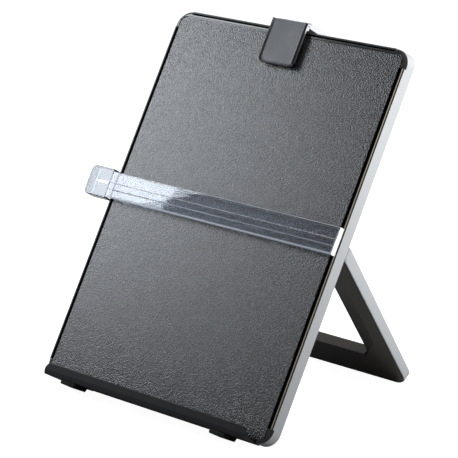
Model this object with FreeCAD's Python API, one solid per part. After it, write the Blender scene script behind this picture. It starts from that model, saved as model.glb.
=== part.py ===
import FreeCAD, Part
import math
import os

# Copy holder with a line guide: a leaning board with a slotted rim, a clear line guide
# that slides up and down the side channels, a spring clip that slides along the top
# channel, a paper ledge at the foot and a folding stand behind.
#
# Every piece is first drawn in the board's own frame, in millimetres:
#   x  across the board, y  up the board from its foot, z  out of its front face.
# The front face is z = 0. placed() then leans the board back and stands it on the desk.

# ---- driving dimensions -------------------------------------------------------------
BOARD_W = 240.0            # width of the board
BOARD_H = 325.0            # height of the board along its own slope
BOARD_T = 13.5             # front face to back face
LEAN = 33.5                # degrees back from upright
CORNER_TOP = 14.0          # outline radius at the two top corners
CORNER_TOP_BACK = 10.5     # the same at the back face: the shell's corners taper
CORNER_FOOT = 12.0         # outline radius at the two foot corners

PANEL_T = 2.2              # front panel
CAP_T = 3.2                # the panel's edge where it caps the shell at the corners
CAP_ROUND = 2.9            # round on that edge
WALL = 1.1                 # side wall of the rear shell
BACK_WALL = 1.8            # back wall of the rear shell
RIM_DROP = 1.3             # shell rim below the front face beside the channels

NOTCH = 4.9                # how far the panel is cut back beside each side channel
NOTCH_TOP = 3.2            # and below the channel in the top edge
CHANNEL_LOW = 13.4         # lower end of the side channels
CHANNEL_HIGH = 309.8       # upper end of the side channels
TOP_CHANNEL_HALF = 106.0   # half length of the channel in the top edge
CHANNEL_FLOOR = -6.0       # depth of the channels
RAIL_T = 0.8               # wall of a side rail
RAIL_T_TOP = 0.5           # wall of the top rail
FIELD_TOP = BOARD_H - 4.6  # top of the grained field, marked by a fine groove
FIELD_HALF = 116.3         # half width of that groove where it turns down at the corners
BEAD = 0.5                 # half-round bead on the rail's lip

GUIDE_Y = 164.9            # middle of the line guide as it stands
GUIDE_H = 22.4             # height of the guide's strip
GUIDE_FRONT = 6.0          # the guide's front face above the board
GUIDE_WALL = 1.5
TAB_END = -144.9           # free end of the finger tab
TAB_H = 25.5               # the tab is a little taller than the strip
TAB_Y = GUIDE_Y + 0.4      # middle of the tab
TAB_BACK = -3.5            # the tab's side walls reach back past the board's face
TAB_SLOT = (-135.1, -121.9)  # ends of the slot through the tab's front

LEDGE_HALF = 107.6         # half length of the paper ledge
LEDGE_DEPTH = 14.0         # the ledge's lip stands this far in front of the board
LEDGE_LIP = 8.7            # top of the lip above the board's foot
LEDGE_UNDER = 0.9          # underside of the ledge's foot plate below the board's foot
LEDGE_SEAT = 0.9           # the foot plate is let this far into the board's foot
LEDGE_BACK = -8.0          # rear edge of the foot plate

PAD_X = 80.3               # middle of each rubber stop block under the ledge
PAD_W = 15.5
PAD_DROP = 4.3             # underside of the blocks below the board's foot
PAD_FRONT, PAD_REAR = 11.8, -3.5

HEEL_X = 77.0              # middle of each rubber heel pad
HEEL_W = 8.0
HEEL_T = 0.63              # rubber under the shell's rounded heel
HEEL_LAND = 2.4            # depth of the pad's level land, which stands on the desk

LEG_W = 30.0               # width of the stand's legs and of its foot bar
LEG_T_FOOT = 8.6           # thickness at the foot
LEG_T_HINGE = 11.0         # thickness at the hinge
LEG_REACH = 148.5          # hinge to foot
LEG_SKIN = 1.6             # silver cover over the black frame
HINGE_Y = 157.4            # hinge axis up the board
FOLD_GAP = 0.3             # air between the folded stand and the board
TIP_R = 2.0                # round on the stand's lower front edge
PIN_R = 1.75
RUN = 0.05                 # radial clearance of a running fit

CLIP_HALF = 17.5           # half width of the clip
CLIP_FOOT = 292.5          # lower edge of the clip's leaf
CLIP_TOP = 332.6           # crown of the clip over the board's top edge
CLIP_PIVOT = (323.5, -19.5)  # clip hinge axis, (y, z)

# ---- values worked out from them ----------------------------------------------------
HALF_W = BOARD_W / 2
BACK = -BOARD_T
TILT = 90.0 - LEAN
SIN_L, COS_L = math.sin(math.radians(LEAN)), math.cos(math.radians(LEAN))
HINGE_Z = BACK - FOLD_GAP - LEG_T_HINGE / 2
KNUCKLE = LEG_T_HINGE / 2
TIP_Y = HINGE_Y - LEG_REACH
BACK_ROUND = 1.2           # round on the shell's back edge
HEEL_MID = BACK_ROUND, BACK + BACK_ROUND            # centre of that round at the foot, (y, z)
GROUND = (HEEL_MID[0] * COS_L + HEEL_MID[1] * SIN_L
          - BACK_ROUND - HEEL_T)                    # height of the desk below the origin


def stand_angle():
    """Angle between the open stand and the board that sets the stand's foot on the desk."""
    pivot_height = HINGE_Y * COS_L + HINGE_Z * SIN_L - GROUND
    along, across = LEG_REACH - TIP_R, KNUCKLE - TIP_R
    reach = math.hypot(along, across)
    slope = math.acos((pivot_height - TIP_R) / reach) + math.atan2(across, along)
    return LEAN + math.degrees(slope)


OPEN = stand_angle()

V = FreeCAD.Vector
X_AXIS = V(1, 0, 0)
parts = {}


# ---- drawing helpers ----------------------------------------------------------------
def loop(points, put):
    """Closed wire through (a, b, radius) corners; put maps (a, b) to a 3-D point."""
    count = len(points)
    starts, ends, edges = [], [], []
    for i, (a, b, radius) in enumerate(points):
        if not radius:
            starts.append((a, b))
            ends.append((a, b))
            edges.append(None)
            continue
        before, after = points[i - 1], points[(i + 1) % count]
        to_before = math.atan2(before[1] - b, before[0] - a)
        to_after = math.atan2(after[1] - b, after[0] - a)
        half = abs((to_after - to_before + math.pi) % (2 * math.pi) - math.pi) / 2
        reach = radius / math.tan(half)
        start = (a + reach * math.cos(to_before), b + reach * math.sin(to_before))
        end = (a + reach * math.cos(to_after), b + reach * math.sin(to_after))
        mid_dir = math.atan2(math.sin(to_before) + math.sin(to_after),
                             math.cos(to_before) + math.cos(to_after))
        crown = radius / math.sin(half) - radius
        middle = (a + crown * math.cos(mid_dir), b + crown * math.sin(mid_dir))
        starts.append(start)
        ends.append(end)
        edges.append(Part.Arc(put(*start), put(*middle), put(*end)).toShape())
    chain = []
    for i in range(count):
        if edges[i]:
            chain.append(edges[i])
        first, second = put(*ends[i]), put(*starts[(i + 1) % count])
        if first.distanceToPoint(second) > 1e-6:
            chain.append(Part.makeLine(first, second))
    return Part.Wire(chain)


def plate(points, z0, z1):
    """Solid from a front-view outline of (x, y, radius) corners, between two depths."""
    face = Part.Face(loop(points, lambda x, y: V(x, y, z0)))
    return face.extrude(V(0, 0, z1 - z0))


def bar(points, x0, x1):
    """Solid from a side-view section of (y, z, radius) corners, between two x values."""
    face = Part.Face(loop(points, lambda y, z: V(x0, y, z)))
    return face.extrude(V(x1 - x0, 0, 0))


def post(points, y0, y1):
    """Solid from a section of (x, z, radius) corners, between two heights."""
    face = Part.Face(loop(points, lambda x, z: V(x, y0, z)))
    return face.extrude(V(0, y1 - y0, 0))


def rect(a0, a1, b0, b1, radius=0.0):
    return [(a0, b0, radius), (a1, b0, radius), (a1, b1, radius), (a0, b1, radius)]


def box(x0, x1, y0, y1, z0, z1):
    return Part.makeBox(x1 - x0, y1 - y0, z1 - z0, V(x0, y0, z0))


def rod(radius, x0, x1, y, z):
    return Part.makeCylinder(radius, x1 - x0, V(x0, y, z), X_AXIS)


def peg(radius, x, y, z0, z1):
    return Part.makeCylinder(radius, z1 - z0, V(x, y, z0), V(0, 0, 1))


def prism(radius, x, y, z0, z1, sides=8):
    """Faceted post inside a circle of that radius."""
    corners = []
    for k in range(sides):
        turn = 2 * math.pi * (k + 0.5) / sides
        corners.append((x + radius * math.cos(turn), y + radius * math.sin(turn), 0))
    return plate(corners, z0, z1)


def upright_prism(radius, x, z, y0, y1):
    """The same post standing up the board, between two heights."""
    made = prism(radius, x, -z, y0, y1)
    made.rotate(V(0, 0, 0), X_AXIS, -90)
    return made


def mirrored(shape):
    return shape.mirror(V(0, 0, 0), X_AXIS)


def board_outline(inset, top_radius=CORNER_TOP):
    """Front-view outline of the whole board, drawn in by an inset."""
    side, low, high = HALF_W - inset, inset, BOARD_H - inset
    foot, top = CORNER_FOOT - inset, top_radius - inset
    return [(-side, low, foot), (side, low, foot), (side, high, top), (-side, high, top)]


def tapered(inset, z_back, z_front):
    """Block with the board's outline, whose top corners tighten towards the back."""
    rims = []
    for z, radius in ((z_back, CORNER_TOP_BACK), (z_front, CORNER_TOP)):
        rims.append(loop(board_outline(inset, radius), lambda x, y, z=z: V(x, y, z)))
    faces = [Part.Face(rim) for rim in rims]
    for back, front in zip(rims[0].Edges, rims[1].Edges):
        if isinstance(back.Curve, Part.Line):
            corners = [back.firstVertex().Point, back.lastVertex().Point,
                       front.lastVertex().Point, front.firstVertex().Point]
            faces.append(Part.Face(Part.makePolygon(corners + corners[:1])))
        else:
            faces.append(Part.makeRuledSurface(back, front))
    middle = V(0, BOARD_H / 2, (z_back + z_front) / 2)
    for face in faces:
        u0, u1, v0, v1 = face.ParameterRange
        normal = face.normalAt((u0 + u1) / 2, (v0 + v1) / 2)
        if normal.dot(face.CenterOfMass - middle) < 0:
            face.reverse()
    skin = Part.makeShell(faces)
    skin.sewShape()
    return Part.Solid(skin)


def opened(shape):
    """Swing a piece of the stand from folded to open."""
    turned = shape.copy()
    turned.rotate(V(0, HINGE_Y, HINGE_Z), X_AXIS, OPEN)
    return turned


def keep(name, shape):
    parts[name] = shape.removeSplitter() if len(shape.Solids) == 1 else shape


# ---- board --------------------------------------------------------------------------
SCREW_R, SCREW_HEAD_R = 1.3, 2.7
SHELL_SCREWS = [(side * 95.0, y) for side in (-1, 1) for y in (24.0, 300.0)]
LEDGE_SCREWS = [-60.0, 60.0]
LEDGE_SCREW_Z, LEDGE_HEAD_R = -5.4, 2.2
GROOVE_W, GROOVE_DEEP = 0.8, 0.6


def channel_cuts(z0, z1):
    """The three strips that the panel is cut back by, one beside each channel."""
    edge, far, top = HALF_W - NOTCH, HALF_W + NOTCH, BOARD_H - NOTCH_TOP
    low, high, half = CHANNEL_LOW, CHANNEL_HIGH, TOP_CHANNEL_HALF
    right = plate([(edge, low, 1.5), (far, low, 0), (far, high, 0), (edge, high, 1.5)], z0, z1)
    above = plate([(-half, top, 1.0), (half, top, 1.0), (half, BOARD_H + NOTCH, 0),
                   (-half, BOARD_H + NOTCH, 0)], z0, z1)
    return [right, mirrored(right), above]


def field_line(inset, low):
    side, top, corner = FIELD_HALF - inset, FIELD_TOP - inset, 7.5 - inset
    return plate([(-side, low, 0), (side, low, 0), (side, top, corner), (-side, top, corner)],
                 -GROOVE_DEEP, 1.0)


def field_groove():
    """Fine groove round the top of the grained field, and down its two foot corners."""
    groove = field_line(0.0, CHANNEL_HIGH).cut(field_line(GROOVE_W, CHANNEL_HIGH - 1))
    for side in (-1, 1):
        middle = side * (FIELD_HALF - GROOVE_W / 2)
        groove = groove.fuse(box(middle - GROOVE_W / 2, middle + GROOVE_W / 2, -1.0,
                                 CHANNEL_LOW + 1.0, -GROOVE_DEEP, 1.0))
    return groove


def ledge_seat():
    """Shallow step in the board's foot that takes the ledge's foot plate."""
    half, gap = LEDGE_HALF + 0.1, 0.05
    return box(-half, half, -1.0, LEDGE_SEAT + gap, LEDGE_BACK - gap, 1.0)


def front_panel():
    """Black board: a flat field, rounded caps at the corners, ribs and screw posts behind."""
    panel = plate(board_outline(0.0), -CAP_T, 0.0)
    brim = [e for e in panel.Edges if abs(e.BoundBox.ZMin) < 1e-6 and abs(e.BoundBox.ZMax) < 1e-6]
    panel = panel.makeFillet(CAP_ROUND, brim)
    panel = panel.cut(plate(board_outline(WALL + 1.6), -CAP_T - 1, -PANEL_T))
    for cut in channel_cuts(-CAP_T - 1, 1.0):
        panel = panel.cut(cut)
    panel = panel.cut(field_groove()).cut(ledge_seat())
    for x, y in SHELL_SCREWS:
        tower = prism(3.8, x, y, BACK + BACK_WALL + 0.1, -PANEL_T)
        panel = panel.fuse(tower).cut(prism(SCREW_R + RUN, x, y, BACK, -PANEL_T - 1.0))
    rib_low, rib_high, rib_x, rib_back = 40.0, 270.0, 88.0, -6.0
    ribs = [box(-rib_x, rib_x, y - 0.7, y + 0.7, rib_back, -PANEL_T)
            for y in (rib_low, 100.0, 215.0, rib_high)]
    ribs += [box(x - 0.7, x + 0.7, rib_low, rib_high, rib_back, -PANEL_T)
             for x in (-rib_x, 0.0, rib_x)]
    return panel.fuse(ribs)


def shell_block():
    """Outer form of the rear shell, with its back edge rounded."""
    block = tapered(0.0, BACK, -RIM_DROP)
    rim = [e for e in block.Edges if abs(e.BoundBox.ZMin - BACK) < 1e-6
           and abs(e.BoundBox.ZMax - BACK) < 1e-6]
    return block.makeFillet(BACK_ROUND, rim).Solids[0]


def rear_shell():
    """Silver tray behind the board, with the lugs that the stand hinges on."""
    shell = shell_block().cut(tapered(WALL, BACK + BACK_WALL, 1.0))
    # the rim stands lower wherever the panel caps it
    low_rim = plate(board_outline(-1.0), -CAP_T, 0.0)
    for cut in channel_cuts(-CAP_T - 1, 1.0):
        low_rim = low_rim.cut(cut)
    shell = shell.cut(low_rim)
    for x, y in SHELL_SCREWS:
        shell = shell.cut(prism(SCREW_R + 0.3, x, y, BACK - 1, BACK + BACK_WALL + 1))
        shell = shell.cut(peg(SCREW_HEAD_R + 0.25, x, y, BACK - 1, BACK + 1.2))
    # the foot wall is thicker behind the ledge's seat, and carries blocks for its screws
    half = LEDGE_HALF + 2.0
    shell = shell.fuse(box(-half, half, WALL - 0.5, 2.4, LEDGE_BACK - 1.5, -CAP_T - 0.2))
    for x in LEDGE_SCREWS:
        block = box(x - 4, x + 4, WALL - 0.5, 9.0, BACK + BACK_WALL - 0.5, -CAP_T - 0.2)
        shell = shell.fuse(block)
    shell = shell.cut(ledge_seat())
    for x in LEDGE_SCREWS:
        shell = shell.cut(upright_prism(SCREW_R + RUN, x, LEDGE_SCREW_Z, -1.0, 8.5))
    for side in (-1, 1):
        shell = shell.fuse(hinge_lug(side))
        shell = shell.cut(rod(PIN_R + RUN, side * LUG_X - 8, side * LUG_X + 8, HINGE_Y, HINGE_Z))
    return shell


LUG_X = 100.0              # middle of each hinge lug
LUG_W = 6.2
LUG_R = 3.4


def hinge_lug(side):
    x0, x1 = side * LUG_X - LUG_W / 2, side * LUG_X + LUG_W / 2
    stem = box(x0, x1, HINGE_Y - LUG_R, HINGE_Y + LUG_R, HINGE_Z, BACK + 0.5)
    return stem.fuse(rod(LUG_R, x0, x1, HINGE_Y, HINGE_Z))


def rail_section(reach, notch, wall, flip=1):
    """Channel rail: floor, two walls and a beaded lip that lies on the shell's rim.

    reach is the board's edge, counted outwards; flip turns the section for the left side.
    """
    outer = reach - WALL - 0.1                  # back of the lip wall, against the shell
    lip = outer - wall                          # channel side of the lip wall
    inner = reach - notch - 3.0                 # wall under the panel
    floor, under = CHANNEL_FLOOR, -PANEL_T - 0.05
    top = -RIM_DROP + 0.4
    points = [(inner, floor - wall, 0), (outer, floor - wall, 0), (outer, -RIM_DROP, 0),
              (reach - 0.1, -RIM_DROP, 0), (reach - 0.1, top, 0.3), (lip + 0.9, top, 0),
              (lip + 0.9, top + BEAD, 0.4), (lip, top + BEAD, 0.4), (lip, floor, 0),
              (inner + wall, floor, 0), (inner + wall, under, 0), (inner, under, 0)]
    return [(flip * a, b, r) for a, b, r in points]


def side_rail(side):
    section = rail_section(HALF_W, NOTCH, RAIL_T, side)
    return post(section, CHANNEL_LOW + 0.1, CHANNEL_HIGH - 0.1)


def top_rail():
    section = rail_section(BOARD_H, NOTCH_TOP, RAIL_T_TOP)
    return bar(section, -TOP_CHANNEL_HALF + 0.1, TOP_CHANNEL_HALF - 0.1)


def ledge():
    """Paper ledge: a foot plate let into the board's foot, a shelf and a bowed lip."""
    under, seat, lip_t = -LEDGE_UNDER, LEDGE_SEAT, 1.5
    front = LEDGE_DEPTH
    section = [(under, LEDGE_BACK, 0.4), (under, front - 1.7, 1.5), (2.5, front - 0.4, 5),
               (LEDGE_LIP, front, 0.5), (LEDGE_LIP, front - lip_t, 0.5),
               (3.2, front - lip_t - 0.6, 2.0), (1.6, front - 5.0, 2.0), (seat, 0.15, 0),
               (seat, LEDGE_BACK, 0)]
    body = bar(section, -LEDGE_HALF, LEDGE_HALF)
    # rounded upper corners of the lip, seen from the front
    view = plate([(-LEDGE_HALF, -3, 0), (LEDGE_HALF, -3, 0), (LEDGE_HALF, LEDGE_LIP, 6.0),
                  (-LEDGE_HALF, LEDGE_LIP, 6.0)], -20, 20)
    body = body.common(view)
    for x in LEDGE_SCREWS:
        body = body.cut(upright_prism(SCREW_R + 0.2, x, LEDGE_SCREW_Z, -4.0, 2.0))
        body = body.cut(upright_prism(LEDGE_HEAD_R + 0.4, x, LEDGE_SCREW_Z, -3.0, 0.1))
    return body


def foot_pad(side):
    """Rubber block under the ledge, cut back at its rear end."""
    section = [(-LEDGE_UNDER, PAD_FRONT + 0.4, 0), (-PAD_DROP, PAD_FRONT, 0.8),
               (-PAD_DROP, PAD_REAR, 0.6), (-LEDGE_UNDER, PAD_REAR - 1.5, 0)]
    middle = side * PAD_X
    return bar(section, middle - PAD_W / 2, middle + PAD_W / 2)


def heel_pad(side):
    """Rubber pad wrapped round the shell's heel, with a level land on the desk."""
    touch = (-COS_L * (BACK_ROUND + HEEL_T), -SIN_L * (BACK_ROUND + HEEL_T))
    low = (HEEL_MID[0] + touch[0], HEEL_MID[1] + touch[1])
    front = (low[0] - SIN_L * HEEL_LAND / 2, low[1] + COS_L * HEEL_LAND / 2)
    rear = (low[0] + SIN_L * HEEL_LAND / 2, low[1] - COS_L * HEEL_LAND / 2)
    section = [(0.3, LEDGE_BACK - 1.6, 0), (front[0] + 0.3, LEDGE_BACK - 2.0, 0.4),
               (front[0], front[1], 0), (rear[0], rear[1], 0), (3.2, rear[1] + 0.1, 0.4),
               (3.6, BACK + 0.3, 0), (2.0, BACK + 2.0, 0)]
    middle = side * HEEL_X
    return bar(section, middle - HEEL_W / 2, middle + HEEL_W / 2).cut(shell_block())


def shell_screws():
    """Four screws, sunk in wells, that hold the shell to the panel's posts."""
    screws = []
    for x, y in SHELL_SCREWS:
        head = peg(SCREW_HEAD_R, x, y, BACK + 0.1, BACK + 1.2)
        shank = prism(SCREW_R, x, y, BACK + 1.2, -4.5)
        cross = box(x - 1.5, x + 1.5, y - 0.35, y + 0.35, BACK, BACK + 0.7)
        cross = cross.fuse(box(x - 0.35, x + 0.35, y - 1.5, y + 1.5, BACK, BACK + 0.7))
        screws.append(head.fuse(shank).cut(cross))
    return Part.makeCompound(screws)


def ledge_screws():
    """Two screws that come up through the ledge's foot plate."""
    screws = []
    for x in LEDGE_SCREWS:
        head = Part.makeCylinder(LEDGE_HEAD_R, 0.7, V(x, 0.1 - 0.7, LEDGE_SCREW_Z), V(0, 1, 0))
        screws.append(head.fuse(upright_prism(SCREW_R, x, LEDGE_SCREW_Z, 0.1, 7.6)))
    return Part.makeCompound(screws)


# ---- folding stand ------------------------------------------------------------------
STAND_FRONT = BACK - FOLD_GAP       # the stand's dark face when folded
FLANGE = 0.8                        # dark edge over the cover's side wall
OPENING_TOP = HINGE_Y + 20.0        # the opening is open at the top between the legs
RECESS_W, RECESS = 16.0, 0.6        # step down to the inner half of each leg
RECESS_FALL = 2.4                   # further fall of that half towards the opening


def stand_side():
    """Side section of a leg, folded: foot, knuckle round the pin and the stop face."""
    turn = math.radians(OPEN)
    stop_dir = (math.sin(turn), -math.cos(turn))            # out of the stop face, (y, z)
    touch = (HINGE_Y + KNUCKLE * stop_dir[0], HINGE_Z - KNUCKLE * stop_dir[1])
    back = STAND_FRONT - LEG_T_HINGE
    run = (touch[1] - back) / math.sin(turn)
    top_back = (touch[0] + run * math.cos(turn), back)
    return touch, top_back


def stand_body(thin):
    """Both legs and the bar as one block across the board, with the back drawn in."""
    touch, top_back = stand_side()
    start = (HINGE_Y, HINGE_Z + KNUCKLE)
    half_turn = math.radians(OPEN) / 2
    middle = (HINGE_Y + KNUCKLE * math.sin(half_turn), HINGE_Z + KNUCKLE * math.cos(half_turn))
    foot_back = STAND_FRONT - LEG_T_FOOT + thin

    def put(y, z):
        return V(-HALF_W, y, z)

    edges = [Part.makeLine(put(TIP_Y, STAND_FRONT), put(*start)),
             Part.Arc(put(*start), put(*middle), put(*touch)).toShape(),
             Part.makeLine(put(*touch), put(top_back[0], top_back[1] + thin)),
             Part.makeLine(put(top_back[0], top_back[1] + thin), put(TIP_Y, foot_back)),
             Part.makeLine(put(TIP_Y, foot_back), put(TIP_Y, STAND_FRONT))]
    return Part.Face(Part.Wire(edges)).extrude(V(BOARD_W, 0, 0))


def stand_plan(inset, inner):
    """Front-view outline of the stand as a thick block, open at the top."""
    side, low = HALF_W - inset, TIP_Y + inset
    well, sill = HALF_W - LEG_W + inner, TIP_Y + LEG_W - inner
    high = OPENING_TOP
    corner = CORNER_FOOT - inset
    outline = [(-side, low, corner), (side, low, corner), (side, high, 0), (well, high, 0),
               (well, sill, 3.0), (-well, sill, 3.0), (-well, high, 0), (-side, high, 0)]
    return plate(outline, STAND_FRONT - 20, STAND_FRONT + 1)


def slot_cut(side):
    """Room for a hinge lug, from folded right round to open."""
    x0, x1 = side * LUG_X - LUG_W / 2 - 0.35, side * LUG_X + LUG_W / 2 + 0.35
    low = HINGE_Y - LUG_R - 0.6
    return box(x0, x1, low, HINGE_Y + 30, HINGE_Z - LUG_R - 0.35, STAND_FRONT + 2)


def stand_block():
    """The whole stand before it is split into frame and cover, with its foot rounded."""
    block = stand_body(0.0).common(stand_plan(0.0, 0.0))
    foot = [e for e in block.Edges
            if abs(e.BoundBox.ZMin - STAND_FRONT) < 1e-4
            and abs(e.BoundBox.ZMax - STAND_FRONT) < 1e-4
            and e.BoundBox.YMax < TIP_Y + CORNER_FOOT + 0.01]
    return block.makeFillet(TIP_R, foot)


def stand_dark_zone():
    """Space the dark frame takes: the front face, the core and the walls of the opening."""
    face = box(-HALF_W - 1, HALF_W + 1, 0, 220, STAND_FRONT - FLANGE, STAND_FRONT + 1)
    core = stand_body(LEG_SKIN).common(stand_plan(LEG_SKIN, 0.0))
    walls = stand_plan(LEG_SKIN, 0.0).cut(stand_plan(LEG_SKIN, 2.0))
    return face.fuse([core, walls])


def kickstand_frame():
    """Dark inner frame of the stand, with the hinge slots and the stepped inner faces."""
    frame = stand_block().common(stand_dark_zone())
    inner, line = HALF_W - LEG_W, HALF_W - LEG_W + RECESS_W
    sill = TIP_Y + LEG_W
    for side in (-1, 1):
        plan = plate([(side * (inner - 2), sill - 2.6, 0), (side * line, sill + RECESS_W * 1.3, 0),
                      (side * line, OPENING_TOP, 0), (side * (inner - 2), OPENING_TOP, 0)],
                     STAND_FRONT - 10, STAND_FRONT + 1)
        shelf = post([(side * line, STAND_FRONT + 1, 0), (side * line, STAND_FRONT - RECESS, 0),
                      (side * (inner - 2), STAND_FRONT - RECESS - RECESS_FALL, 0),
                      (side * (inner - 2), STAND_FRONT + 1, 0)], sill - 10, OPENING_TOP)
        frame = frame.cut(plan.common(shelf)).cut(slot_cut(side)).cut(pin_shape(side))
    return frame


def kickstand_cover():
    """Silver cover over the back, the outer sides and the foot of the stand."""
    return stand_block().cut(stand_dark_zone())


def pin_shape(side):
    low, high = LUG_X - 9.0, LUG_X + 14.0
    if side < 0:
        low, high = -high, -low
    return rod(PIN_R, low, high, HINGE_Y, HINGE_Z)


# ---- line guide ---------------------------------------------------------------------
SHOE_IN, SHOE_OUT = HALF_W - NOTCH + 0.4, HALF_W - 0.2
SHOE_REST, SHOE_UPRIGHT = 1.4, 1.0  # top of the shoe's low part, thickness of its upright
GUIDE_END = HALF_W - 0.4            # closed right end of the strip
GUIDE_STEP = 0.35                   # the strip's upper part lies this far back


def shoe(side):
    """Slide block: an upright at the strip's end, a neck in the channel and a foot behind."""
    low, high = GUIDE_Y - GUIDE_H / 2 + 1.4, GUIDE_Y + GUIDE_H / 2 - 1.4
    top = GUIDE_FRONT - GUIDE_WALL - GUIDE_STEP - 0.25
    out = GUIDE_END - 1.3 if side > 0 else SHOE_OUT
    rest = plate(rect(SHOE_IN, out, low, high), 0.4, SHOE_REST)
    upright = plate(rect(out - SHOE_UPRIGHT, out, low, high), 0.4, top)
    neck_out = HALF_W - WALL - 0.1 - RAIL_T - 0.35
    neck = plate(rect(SHOE_IN, neck_out, low + 0.3, high - 0.3), -5.6, 0.4)
    foot = plate(rect(HALF_W - NOTCH - 1.8, neck_out, low + 0.3, high - 0.3), -5.6,
                 -PANEL_T - 0.35)
    body = upright.fuse([rest, neck, foot])
    return body if side > 0 else mirrored(body)


def line_guide():
    """Clear moulding: a shallow channel across the board and a boxed finger tab."""
    low, high = GUIDE_Y - GUIDE_H / 2, GUIDE_Y + GUIDE_H / 2
    tab_low, tab_high = TAB_Y - TAB_H / 2, TAB_Y + TAB_H / 2
    left = -HALF_W + NOTCH - 0.3
    wall, front, foot, step = GUIDE_WALL, GUIDE_FRONT, 0.7, GUIDE_STEP
    # strip: front wall with a step and a fine reading line, and two flanges
    line_y, step_y = low + 7.0, low + 12.3
    section = [(low, foot, 0), (low, front, 0.5), (line_y - 0.3, front, 0),
               (line_y, front - 0.3, 0), (line_y + 0.3, front, 0), (step_y, front, 0),
               (step_y + 0.4, front - step, 0), (high, front - step, 0.5), (high, foot, 0),
               (high - 1.3, foot, 0), (high - 1.3, front - wall - step, 0.5),
               (low + 1.3, front - wall - step, 0.5), (low + 1.3, foot, 0)]
    strip = bar(section, left, GUIDE_END)
    for x0, x1 in ((left, left + 1.2), (GUIDE_END - 1.2, GUIDE_END)):
        strip = strip.fuse(box(x0, x1, low + 0.6, high - 0.6, foot, front - step - 0.5))
    bridge = box(-HALF_W - 2.0, left + 0.5, low, high, front - wall, front - step)
    # tab: a tray open at the back and towards the board, with a slot through its front
    tab_right = -HALF_W - 0.8
    tray = plate([(TAB_END, tab_low, 5.0), (tab_right, tab_low, 0),
                  (tab_right, tab_high, 0), (TAB_END, tab_high, 5.0)], TAB_BACK, front)
    soft = [e for e in tray.Edges if abs(e.BoundBox.ZMin - front) < 1e-6
            and e.BoundBox.XMin < tab_right - 0.1]
    tray = tray.makeFillet(0.8, soft)
    hollow = plate([(TAB_END + wall, tab_low + wall, 3.5), (tab_right + 2, tab_low + wall, 0),
                    (tab_right + 2, tab_high - wall, 0),
                    (TAB_END + wall, tab_high - wall, 3.5)], TAB_BACK - 1, front - wall)
    tray = tray.cut(hollow)
    slot = rect(TAB_SLOT[0], TAB_SLOT[1], TAB_Y - 0.7, TAB_Y + 1.9, 0.4)
    tray = tray.cut(plate(slot, 0, front + 1))
    for y in (TAB_Y - 4.9, TAB_Y + 6.7):
        tray = tray.fuse(prism(0.6, TAB_SLOT[0] + 0.9, y, front - wall, front + 0.25))
    return strip.fuse([bridge, tray])


# ---- clip ---------------------------------------------------------------------------
PIVOT_Y, PIVOT_Z = CLIP_PIVOT
LEAF_T = 1.4
LEAF_RIM = 0.9                      # width and height of the rim round the leaf's dish
LEAF_CORNER = 4.0
LEAF_BACK = 3.2                     # back of the dark leaf above the board's face
LEVER_T = 1.4
CROWN_Y = CLIP_TOP - LEAF_BACK - LEAF_T    # centre of the bend over the board's top edge
EAR_R = 3.6


def crook(outer, inner, foot, tail):
    """Section of a strip that rises at the front, bends over the top and runs back."""
    put = lambda y, z: V(-CLIP_HALF, y, z)
    bend = math.sqrt(0.5)
    edges = [Part.makeLine(put(foot, outer), put(CROWN_Y, outer)),
             Part.Arc(put(CROWN_Y, outer), put(CROWN_Y + outer * bend, outer * bend),
                      put(CROWN_Y + outer, 0)).toShape(),
             Part.makeLine(put(CROWN_Y + outer, 0), put(CROWN_Y + outer, tail)),
             Part.makeLine(put(CROWN_Y + outer, tail), put(CROWN_Y + inner, tail)),
             Part.makeLine(put(CROWN_Y + inner, tail), put(CROWN_Y + inner, 0)),
             Part.Arc(put(CROWN_Y + inner, 0), put(CROWN_Y + inner * bend, inner * bend),
                      put(CROWN_Y, inner)).toShape(),
             Part.makeLine(put(CROWN_Y, inner), put(foot, inner)),
             Part.makeLine(put(foot, inner), put(foot, outer))]
    return Part.Face(Part.Wire(edges)).extrude(V(2 * CLIP_HALF, 0, 0))


def leaf_view(inset):
    """Front view of the leaf, drawn in by an inset, with its lower corners rounded."""
    half, foot, top = CLIP_HALF - inset, CLIP_FOOT + inset, BOARD_H + 20
    corner = LEAF_CORNER - inset
    return plate([(-half, foot, corner), (half, foot, corner), (half, top, 0), (-half, top, 0)],
                 -10, 20)


def clip_leaf():
    """Dark front leaf: a shallow dish with a thin rim, bent over at the crown."""
    front = LEAF_BACK + LEAF_T
    leaf = crook(front + LEAF_RIM, LEAF_BACK, CLIP_FOOT, -1.0).common(leaf_view(0.0))
    dish = crook(front + 3.0, front, CLIP_FOOT, -3.0).common(leaf_view(LEAF_RIM))
    return leaf.cut(dish)


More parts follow.
